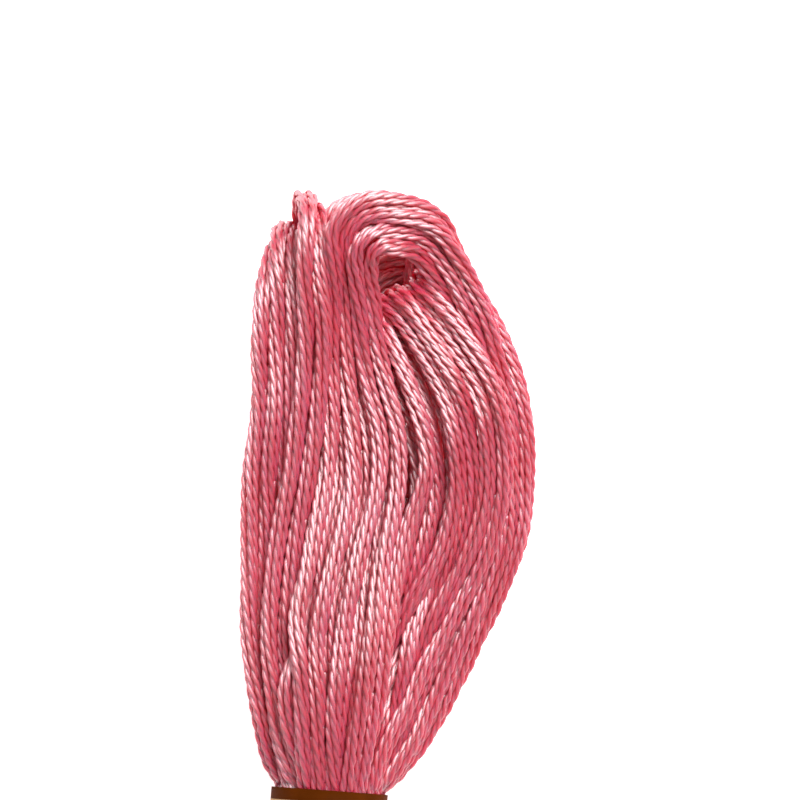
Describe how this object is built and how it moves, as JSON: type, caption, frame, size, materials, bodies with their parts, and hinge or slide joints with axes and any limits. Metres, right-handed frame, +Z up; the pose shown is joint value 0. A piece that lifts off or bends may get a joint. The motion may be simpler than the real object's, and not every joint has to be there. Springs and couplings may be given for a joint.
{
  "type": "embroidery thread skein",
  "caption": "Looped hank of pink stranded cotton embroidery floss, squeezed at its middle by a plain gold-brown paper band, lying flat with its upper loops standing open.",
  "frame": {"origin": "on the surface that the skein lies on, under the middle of its box", "axes": "+Y along the skein towards its open loops, +Z up from the surface, +X to the right seen from above"},
  "size_m": [0.029, 0.135, 0.0093],
  "materials": {
    "cotton_floss": "mercerised cotton, six two-ply strands laid together, soft silky sheen",
    "band_paper": "gold-brown coated paper with a thin black line inside each edge"
  },
  "bodies": {
    "root": {"skein": "cotton_floss", "band": "band_paper"}
  },
  "joints": []
}
